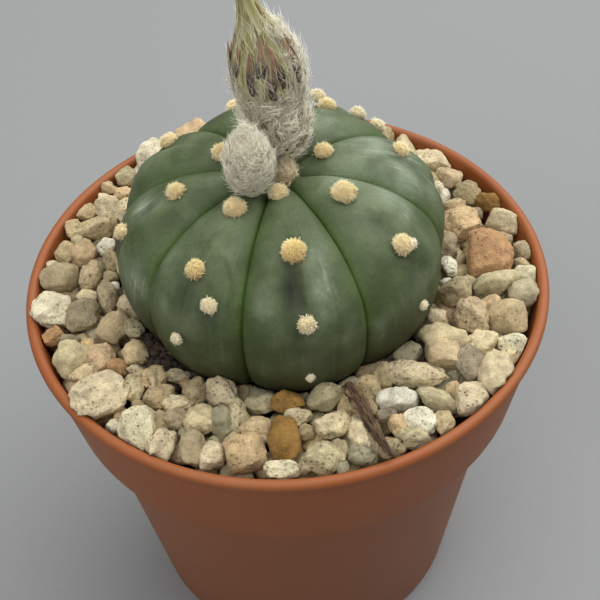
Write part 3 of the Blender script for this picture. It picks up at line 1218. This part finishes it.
class CACTUS_OT_body(bpy.types.Operator):
    """Model the ribbed cactus body with its seams and taproot"""

    bl_idname = "potted_cactus.body"
    bl_label = "Cactus body"

    def execute(self, context):
        columns = COLUMNS_PER_RIB * len(SEAM_AZIMUTHS)
        rows = CROWN_ROWS + BELLY_ROWS + ROOT_ROWS + 1
        body = added(bpy.ops.mesh.primitive_uv_sphere_add, segments=columns, ring_count=rows, radius=1.0,
                     calc_uvs=False)
        body.name = "cactus_skin"
        ball = places_of(body)
        row = np.round(np.arccos(ball[:, 2].clip(-1.0, 1.0)) / math.pi * rows)
        column = np.round(np.arctan2(ball[:, 1], ball[:, 0]) / (2.0 * math.pi) * columns)
        column = column.astype(int) % columns
        rib, place = np.divmod(column, COLUMNS_PER_RIB)
        share = 0.5 - 0.5 * np.cos(math.pi * place / COLUMNS_PER_RIB)
        spans = np.diff(np.append(SEAM_AZIMUTHS, SEAM_AZIMUTHS[0] + 360.0))
        azimuths = SEAM_AZIMUTHS[rib] + spans[rib] * share
        crown = 90.0 * (np.minimum(row, CROWN_ROWS) / CROWN_ROWS) ** 1.15
        belly = (BELLY_END - 90.0) * ((row - CROWN_ROWS) / BELLY_ROWS).clip(0.0, 1.0)
        angles = crown + belly
        places = body_points(azimuths, angles)
        reach = np.hypot(places[:, 0], places[:, 1])
        # Each areole sits in a small dent on a low swelling of its rib
        centres = np.array([body_points(azimuth, angle) for azimuth, angle, *rest in AREOLES])
        distance = gaps_to(places, centres) / MM
        swelling = 0.3 * np.exp(-(distance / 5.0) ** 2) - 0.45 * np.exp(-(distance / 2.0) ** 2)
        ripple = uneven(places, 1.0 / SKIN_RIPPLE)
        # Between its areoles a rib's crest is creased
        from_crease = np.radians(spans[rib] * (share - 0.5)) * reach / MM + CREASE_OFFSET
        slope = np.where(from_crease > 0.0, CREASE_STEEP, CREASE_GENTLE)
        window = np.exp(-((angles - CREASE_MIDDLE) / CREASE_REACH) ** 4)
        crease = np.where(rib == CREASED_RIB, 1.0, OTHER_CREASES) * np.exp(-(from_crease / slope) ** 2)
        furrow = window * crease * (1.0 - np.exp(-(distance / 2.3) ** 2))
        lobe = window * np.exp(-((from_crease - LOBE_OFFSET) / LOBE_WIDTH) ** 2)
        rise = (swelling + 0.14 * ripple + LOBE_HEIGHT * lobe) * MM - furrow * FURROW_DEPTH
        shown = np.minimum(1.0, reach / RELIEF_REACH)
        places = places + body_outward(azimuths, angles) * (shown * rise)[:, None]
        rooted = ((row - CROWN_ROWS - BELLY_ROWS) / ROOT_ROWS).clip(0.0, 1.0)
        places = np.where((rooted > 0.0)[:, None], root_points(azimuths, rooted), places)
        poles = (row == 0) | (row == rows)
        places[poles, :2] = BODY_CENTRE[:2]
        move_to(body, places)
        give_tint(body.data, rib_side(azimuths), angles / 180.0, np.exp(-(distance / 2.6) ** 2), furrow)
        scar = smooth_line([body_points(*point) for point in SCAR_LINE], 8)
        marks = skin_marks(azimuths, angles, reach)
        marks -= 0.6 * np.exp(-(gaps_to(places, scar) / SCAR_WIDTH) ** 2)
        streaks = round_axis(np.radians(azimuths), 1.0, angles / 180.0)
        attributes = body.data.attributes
        attributes.new("mark", "FLOAT", "POINT").data.foreach_set("value", marks.astype(np.float32))
        attributes.new("streak", "FLOAT_VECTOR", "POINT").data.foreach_set(
            "vector", streaks.astype(np.float32).ravel())
        body.data.shade_smooth()
        attach(body, waxy_skin(context.scene.cactus_skin), "cactus_skin", "cactus_body")
        return {"FINISHED"}


class CACTUS_OT_areoles(bpy.types.Operator):
    """Grow the short dense wool of the areoles"""

    bl_idname = "potted_cactus.areoles"
    bl_label = "Areole wool"

    def execute(self, context):
        look = context.scene.cactus_skin
        ball = added(bpy.ops.mesh.primitive_ico_sphere_add, subdivisions=2, radius=1.0)
        hair = turned("hair", TUFT_HAIR, 3)
        directions = places_of(ball)
        along = places_of(hair)[:, 2]
        flat = np.array((1.0, 1.0, AREOLE_HEIGHT))
        rng = np.random.default_rng(AREOLE_SEED)
        cores, core_light, hairs, hair_light, chances, yellows = [], [], [], [], [], []
        tufts = [(*areole, 0.0) for areole in AREOLES] + list(STACKED_TUFTS)
        for index, (azimuth, angle, diameter, yellow, rise) in enumerate(tufts):
            size = diameter * MM
            centre = body_points(azimuth, angle, AREOLE_LIFT * size + rise * MM)
            turn = np.array(Vector(body_outward(azimuth, angle)).to_track_quat("Z", "Y").to_matrix()).T
            seed = (index * 3.7, index * 1.9, index * 2.3)
            swell = 1.0 + 0.16 * uneven(directions, 1.7, seed)
            cores.append(centre + directions * swell[:, None] * (0.4 * size) * flat @ turn)
            core_light.append(0.08 + 0.3 * (directions @ turn)[:, 2])

            count = int(HAIR_DENSITY * diameter ** 2)
            heads = unit(rng.normal(size=(count, 3)) + (0.0, 0.0, 0.5))
            heads[:, 2] = np.abs(heads[:, 2]) - 0.15
            heads = unit(heads)
            swell = 1.0 + 0.16 * uneven(heads, 1.7, seed)
            roots = heads * swell[:, None] * (0.37 * size) * flat
            aims = unit(heads + 0.4 * rng.normal(size=(count, 3)))
            lengths = (0.1 * size + 0.15 * MM) * rng.uniform(0.45, 1.15, count)
            bends = 0.3 * lengths[:, None] * rng.normal(size=(count, 3))
            widths = rng.uniform(0.035, 0.06, count) * MM
            facing = unit(np.cross(aims, (0.31, 0.9, 0.3)))
            hairs.append(centre + laid(hair, roots, aims, facing, lengths, bends, widths) @ turn)
            hair_light.append(0.08 + 0.4 * (heads @ turn)[:, 2:] + 0.55 * along)
            chances.append(rng.random((count, 1)))
            yellows.append(np.full((count, 1), yellow))
        core_yellow = [[yellow] for azimuth, angle, diameter, yellow, rise in tufts]
        domes = copied("areole_domes", ball, np.array(cores), core_light, 0.5, core_yellow, 1.0)
        fuzz = copied("areole_fuzz", hair, np.concatenate(hairs), np.concatenate(hair_light),
                      np.concatenate(chances), np.concatenate(yellows), 1.0)
        remove(ball, hair)
        material = plant_wool("areole_wool", look.wool, look.wool_shade, look.wool_white)
        attach(joined("areole_wool", [domes, fuzz]), material, "cactus_skin", "cactus_body")
        return {"FINISHED"}


def placed(points, stand):
    """A bud's places in mm, bowed, leaned and stood on the bud's foot, in metres."""
    foot, lean, bow, low = stand
    turn = np.array(Matrix.Rotation(math.radians(lean), 3, "Y"))
    points = np.array(points)
    points[..., 0] += bow * np.maximum(points[..., 2] - low, 0.0) ** 2
    return points @ turn.T * MM + foot


def bud_frame(profile, heights, turns, sink):
    """Places just under a bud's surface, and the directions up along it, out of it and round it."""
    line = smooth_line(profile, 6).T
    slope = ((np.interp(heights + 0.3, *line) - np.interp(heights - 0.3, *line)) / 0.6)[:, None]
    radial = round_axis(turns, 1.0, 0.0)
    up = unit(radial * slope + UP)
    out = unit(radial - slope * UP)
    roots = round_axis(turns, np.interp(heights, *line), heights) - out * sink
    return roots, up, out, np.cross(UP, radial)


def bud_core(name, profile, slim, stand, sides=40):
    """A bud's solid core, slimmer than its wool, with a lumpy skin."""
    rings = [(max(0.15, radius * slim), height) for height, radius in smooth_line(profile, 5)]
    core = turned(name, rings, sides)
    points = places_of(core)
    lumps = uneven(points, 0.9)
    points[:, :2] *= (1.0 + 0.08 * lumps)[:, None]
    move_to(core, placed(points, stand))
    give_tint(core.data, 0.05, 0.5 + 0.5 * lumps, 0.5, 1.0)
    core.data.shade_smooth()
    return core


def grow_wool(name, hair, profile, stand, rng, heights, turns, *, length, width, lift, spread, curl, sink,
              crimp=1.0, lock=1):
    """Matted hairs rooted on a bud's surface that wind up along it, one by one or in locks."""
    locks = len(heights)
    count = locks * lock
    loose = 0.0 if lock == 1 else 1.0
    heights = np.repeat(heights, lock) + loose * 0.3 * rng.normal(size=count)
    turns = np.repeat(turns, lock) + loose * 0.05 * rng.normal(size=count)
    roots, up, out, around = bud_frame(profile, heights, turns, sink)
    leaning = np.repeat(lift * rng.uniform(0.0, 1.0, locks) ** 1.5, lock)[:, None]
    sideways = np.repeat(spread * rng.normal(size=locks), lock) + loose * 0.12 * rng.normal(size=count)
    aims = unit(up + out * leaning + around * sideways[:, None])
    lengths = length * rng.uniform(0.5, 1.15, count)
    # Hairs follow the bud's round form, and each winds its own way
    curls = np.repeat(curl * rng.normal(size=locks), lock)[:, None]
    bends = (around * curls - out * rng.uniform(-0.1, 0.35, count)[:, None]) * lengths[:, None]
    widths = 0.5 * width * rng.uniform(0.6, 1.3, count)
    shaped = laid(hair, roots, aims, out, lengths, bends, widths)
    along = places_of(hair)[:, 2]
    for direction, size in ((np.cross(aims, out), 0.1), (out, 0.05)):
        phase = np.repeat(rng.uniform(0.0, 2.0 * math.pi, locks), lock)[:, None]
        pace = rng.uniform(5.0, 11.0, count)[:, None]
        wave = crimp * size * lengths[:, None] * (np.sin(pace * along + phase) - np.sin(phase))
        shaped = shaped + direction[:, None] * wave[:, :, None]
    return copied(name, hair, placed(shaped, stand), along, rng.random((count, 1)), 1.0, 1.0)


def scale_template(name, across, along):
    """A pointed scale of length and half-width 1, arched across, as a thin closed blade along Z."""
    blade = added(bpy.ops.mesh.primitive_grid_add, x_subdivisions=across, y_subdivisions=along, size=2.0)
    blade.name = name
    flat = places_of(blade)
    share = 0.5 * (flat[:, 1] + 1.0)
    outline = np.minimum(1.0, 0.55 + 1.5 * share) * (1.0 - share ** 2.4) ** 0.8
    arch = 0.35 * (1.0 - flat[:, 0] ** 2)
    move_to(blade, np.stack([flat[:, 0] * outline, arch * outline, share], 1))
    edit_all(bpy.ops.mesh.remove_doubles, threshold=0.0001)
    apply_modifier(blade, "SOLIDIFY", thickness=0.16, offset=0.0)
    edit_all(bpy.ops.mesh.normals_make_consistent, inside=False)
    return blade


def grow_scales(name, template, profile, stand, rng, *, count, low, high, length, width, lift, chance,
                sink):
    """Scales in a spiral round a bud, from its low to its high end."""
    order = (np.arange(count) + 0.5) / count
    turns = np.arange(count) * GOLDEN_ANGLE
    roots, up, out, around = bud_frame(profile, low + (high - low) * order, turns, sink)
    lifts = lift * rng.uniform(0.6, 1.3, count)[:, None]
    aims = unit(up + out * lifts + around * 0.12 * rng.normal(size=(count, 1)))
    lengths = length * rng.uniform(0.8, 1.25, count)
    bends = (up - out) * 0.22 * lengths[:, None]
    widths = 0.5 * width * rng.uniform(0.85, 1.15, count)
    shaped = laid(template, roots, aims, -out, lengths, bends, widths)
    across, arch, along = places_of(template).T
    return copied(name, template, placed(shaped, stand), along, np.abs(across),
                  rng.uniform(*chance, (count, 1)), 1.0)


def closed_petals(template, rng):
    """The tall bud's petals in layers, each bent round the head and a little open at its tip."""
    line = smooth_line(HEAD_PROFILE, 6).T
    across, arch, along = places_of(template).T
    shaped, chances = [], []
    for layer, (foot, length, width, number) in enumerate(PETAL_LAYERS):
        flare = 0.4 - 0.15 * layer
        for index in range(number):
            turn = 2.0 * math.pi * (index + 0.5 * layer + rng.uniform(-0.15, 0.15)) / number
            height = foot + length * rng.uniform(0.9, 1.02) * along
            reach = np.interp(height, *line) - 0.15 + flare * along ** 2
            angle = turn + across * 0.5 * width / np.maximum(reach, 1.2)
            shaped.append(round_axis(angle, reach + arch * 1.1, height))
            chances.append([rng.uniform(0.4, 0.95)])
    return copied("flower_petals", template, placed(shaped, FLOWER_STAND), along, np.abs(across),
                  chances, 1.0)


class CACTUS_OT_flower_bud(bpy.types.Operator):
    """Model the tall flower bud: woolly tube, layered petals and wispy hairs"""

    bl_idname = "potted_cactus.flower_bud"
    bl_label = "Tall flower bud"

    def execute(self, context):
        look = context.scene.cactus_wool
        thickness = look.thickness / MM
        rng = np.random.default_rng(FLOWER_SEED)
        hair = turned("hair", HAIR_PROFILE, 3)
        wool = plant_wool("bud_wool", look.hair, look.hair_shade)
        scale = scale_template("scale", 2, 6)
        petal = scale_template("petal", 6, 18)

        core = bud_core("flower_tube_core", TUBE_PROFILE, 0.88, FLOWER_STAND)
        attach(core, matted_felt("bud_felt", "#fbf3d4", "#5e5a36"), "bud_wool", "flower_bud_tube")
        scales = grow_scales("flower_tube_scales", scale, TUBE_PROFILE, FLOWER_STAND, rng, count=36, low=0.8,
                             high=12.4, length=2.4, width=0.6, lift=0.25, chance=(0.3, 1.0), sink=0.45)
        tube_scales = dry_scale("bud_scale", "#a39f80", "#6f7350", "#4b3b2c")
        attach(scales, tube_scales, "bud_wool", "flower_bud_tube")
        count = look.tube_hairs // HAIRS_PER_LOCK
        heights = 14.5 - 13.6 * rng.random(count) ** 0.9
        turns = rng.uniform(0.0, 2.0 * math.pi, count)
        fleece = grow_wool("flower_tube_wool", hair, TUBE_PROFILE, FLOWER_STAND, rng, heights, turns,
                           length=3.2, width=1.1 * thickness, lift=0.45, spread=0.4, curl=0.45, sink=0.25,
                           lock=HAIRS_PER_LOCK)
        attach(fleece, wool, "bud_wool", "flower_bud_tube")

        blades = closed_petals(petal, rng)
        head_core = bud_core("flower_head_core", HEAD_PROFILE, 0.86, FLOWER_STAND)
        petal_look = dry_scale("bud_petal", "#f4ecc4", "#a9a86c", "#624628")
        attach(joined("flower_head", [blades, head_core]), petal_look, "bud_petal", "flower_bud_petals")
        bracts = [grow_scales("flower_bracts", scale, HEAD_PROFILE, FLOWER_STAND, rng, count=count,
                              low=low, high=high, length=length, width=width, lift=lift,
                              chance=(0.2, 1.0), sink=-0.45)
                  for low, high, length, width, lift, count in BRACT_LAYERS]
        bract_look = dry_scale("bud_bract", "#cbbc96", "#917556", "#785444", "#46362f")
        attach(joined("flower_bracts", bracts), bract_look, "bud_petal", "flower_bud_petals")

        # Wisps all round, and fluff that sticks to both sides
        loose = 2 * look.head_hairs // 3
        right = look.head_hairs // (2 * HAIRS_PER_LOCK)
        left = look.head_hairs // (8 * HAIRS_PER_LOCK)
        heights = 13.0 + 14.0 * rng.random(loose) ** 2.2
        turns = rng.uniform(0.0, 2.0 * math.pi, loose)
        wisps = grow_wool("flower_head_wisps", hair, HEAD_PROFILE, FLOWER_STAND, rng, heights, turns,
                          length=4.0, width=0.6 * thickness, lift=0.12, spread=0.25, curl=0.2, sink=-0.2,
                          crimp=0.35)
        heights = np.concatenate([13.5 + 11.5 * rng.random(right), 13.0 + 6.0 * rng.random(left)])
        turns = np.concatenate([rng.normal(0.05, 0.35, right), rng.normal(math.pi, 0.35, left)])
        fluff = grow_wool("flower_head_fluff", hair, HEAD_PROFILE, FLOWER_STAND, rng, heights, turns,
                          length=3.0, width=0.8 * thickness, lift=0.5, spread=0.5, curl=0.5, sink=-0.1,
                          lock=HAIRS_PER_LOCK)
        attach(joined("flower_head_wool", [wisps, fluff]), wool, "bud_wool", "flower_bud_petals")
        remove(hair, scale, petal)
        return {"FINISHED"}


class CACTUS_OT_small_buds(bpy.types.Operator):
    """Model the round woolly side bud and the young bud by the topmost areole"""

    bl_idname = "potted_cactus.small_buds"
    bl_label = "Side bud and young bud"

    def execute(self, context):
        look = context.scene.cactus_wool
        thickness = look.thickness / MM
        rng = np.random.default_rng(SMALL_BUD_SEED)
        hair = turned("hair", HAIR_PROFILE, 3)
        scale = scale_template("scale", 2, 5)
        wool = plant_wool("side_bud_wool", look.hair, look.hair_shade)

        core = bud_core("side_bud_core", SIDE_PROFILE, 0.9, SIDE_STAND)
        attach(core, matted_felt("side_bud_felt", "#fdf7e2", "#8f8768"), "bud_wool", "side_bud")
        scales = grow_scales("side_bud_scales", scale, SIDE_PROFILE, SIDE_STAND, rng, count=24, low=1.5,
                             high=11.4, length=2.0, width=0.6, lift=0.25, chance=(0.3, 1.0), sink=0.4)
        attach(scales, dry_scale("side_bud_scale", "#b3ab92", "#8f8a70", "#6b5d49"), "bud_wool", "side_bud")
        count = look.side_hairs // SIDE_HAIRS_PER_LOCK
        heights = 0.6 + 12.3 * rng.random(count)
        turns = rng.uniform(0.0, 2.0 * math.pi, count)
        fleece = grow_wool("side_bud_wool", hair, SIDE_PROFILE, SIDE_STAND, rng, heights, turns, length=2.1,
                           width=thickness, lift=0.4, spread=0.45, curl=0.35, sink=0.2,
                           lock=SIDE_HAIRS_PER_LOCK)
        attach(fleece, wool, "bud_wool", "side_bud")

        young = bud_core("young_bud_body", YOUNG_PROFILE, 0.95, YOUNG_STAND, 24)
        young_skin = dry_scale("young_bud_skin", "#f6e0ca", "#e6c6ac", "#b98b72")
        attach(young, young_skin, "young_wool", "young_bud")
        count = look.young_hairs // HAIRS_PER_LOCK
        heights = 0.1 + 3.6 * rng.random(count)
        turns = rng.uniform(0.0, 2.0 * math.pi, count)
        down = grow_wool("young_bud_wool", hair, YOUNG_PROFILE, YOUNG_STAND, rng, heights, turns, length=1.7,
                         width=thickness, lift=1.3, spread=0.6, curl=0.3, sink=0.15, lock=HAIRS_PER_LOCK)
        attach(down, plant_wool("young_bud_wool", "#fff2d2", "#f4dcbc"), "young_wool", "young_bud")
        remove(hair, scale)
        return {"FINISHED"}


class CACTUS_OT_stage(bpy.types.Operator):
    """Set the pale floor, the soft studio light and the camera"""

    bl_idname = "potted_cactus.stage"
    bl_label = "Stage"

    def execute(self, context):
        look = context.scene.cactus_stage
        floor = added(bpy.ops.mesh.primitive_circle_add, vertices=96, radius=FLOOR_RADIUS, fill_type="NGON")
        floor.name = "floor"
        floor.data.materials.append(matt_paper(look))

        target = Vector((0.0, 0.0, POT_HEIGHT))
        for name, place, size, power in (
                ("softbox", (0.37, 0.32, 0.9), 1.75, look.key_power),
                ("fill_panel", (-0.45, -0.5, 0.8), 0.9, look.fill_power)):
            light = added(bpy.ops.object.light_add, type="AREA")
            light.name = name
            light.data.shape = "DISK"
            light.data.size = size
            light.data.energy = power
            light.location = place
            light.rotation_euler = (target - Vector(place)).to_track_quat("-Z", "Y").to_euler()

        world = bpy.data.worlds.new("room")
        world.use_nodes = True
        background = world.node_tree.nodes["Background"]
        background.inputs["Color"].default_value = (*linear("#e6e8ea"), 1.0)
        background.inputs["Strength"].default_value = look.room_light
        context.scene.world = world
        context.scene.view_settings.view_transform = "Standard"

        camera = added(bpy.ops.object.camera_add)
        camera.name = "camera"
        camera.data.sensor_width = 36.0
        camera.data.lens = look.lens
        camera.data.clip_start = 0.01
        back = Vector((0.0, -math.cos(look.elevation), math.sin(look.elevation)))
        right = Vector((1.0, 0.0, 0.0))
        level = Matrix((right, right.cross(-back), back))
        turn = Matrix.Rotation(look.roll, 3, "Z") @ Matrix.Rotation(look.pan, 3, "Y")
        turn = turn @ Matrix.Rotation(look.tilt, 3, "X")
        place = target + back * look.distance
        camera.matrix_world = Matrix.Translation(place) @ (turn @ level).transposed().to_4x4()
        context.scene.camera = camera
        return {"FINISHED"}


class CACTUS_PT_panel(bpy.types.Panel):
    """Sidebar panel with a button for each piece and the values that set its look"""

    bl_idname = "CACTUS_PT_panel"
    bl_label = "Potted Cactus"
    bl_space_type = "VIEW_3D"
    bl_region_type = "UI"
    bl_category = "Cactus"

    def draw(self, context):
        for operator in OPERATORS:
            self.layout.operator(operator.bl_idname)
        for name, group in LOOKS.items():
            settings = getattr(context.scene, name)
            box = self.layout.box()
            for key in group.__annotations__:
                box.prop(settings, key)


LOOKS = {"cactus_pot": PotLook, "cactus_skin": SkinLook, "cactus_wool": WoolLook, "cactus_stage": StageLook}
OPERATORS = (CACTUS_OT_pot, CACTUS_OT_soil, CACTUS_OT_gravel, CACTUS_OT_twig, CACTUS_OT_body,
             CACTUS_OT_areoles, CACTUS_OT_flower_bud, CACTUS_OT_small_buds, CACTUS_OT_stage)


def register():
    """Register the settings, the operators and the panel."""
    for group in LOOKS.values():
        bpy.utils.register_class(group)
    for name, group in LOOKS.items():
        setattr(bpy.types.Scene, name, PointerProperty(type=group))
    for operator in OPERATORS:
        bpy.utils.register_class(operator)
    bpy.utils.register_class(CACTUS_PT_panel)


def unregister():
    """Take everything out again."""
    bpy.utils.unregister_class(CACTUS_PT_panel)
    for operator in reversed(OPERATORS):
        bpy.utils.unregister_class(operator)
    for name, group in LOOKS.items():
        delattr(bpy.types.Scene, name)
        bpy.utils.unregister_class(group)


def main():
    """Build every piece and the stage."""
    register()
    bpy.ops.potted_cactus.pot()
    bpy.ops.potted_cactus.soil()
    bpy.ops.potted_cactus.gravel()
    bpy.ops.potted_cactus.twig()
    bpy.ops.potted_cactus.body()
    bpy.ops.potted_cactus.areoles()
    bpy.ops.potted_cactus.flower_bud()
    bpy.ops.potted_cactus.small_buds()
    bpy.ops.potted_cactus.stage()


if __name__ == "__main__":
    main()
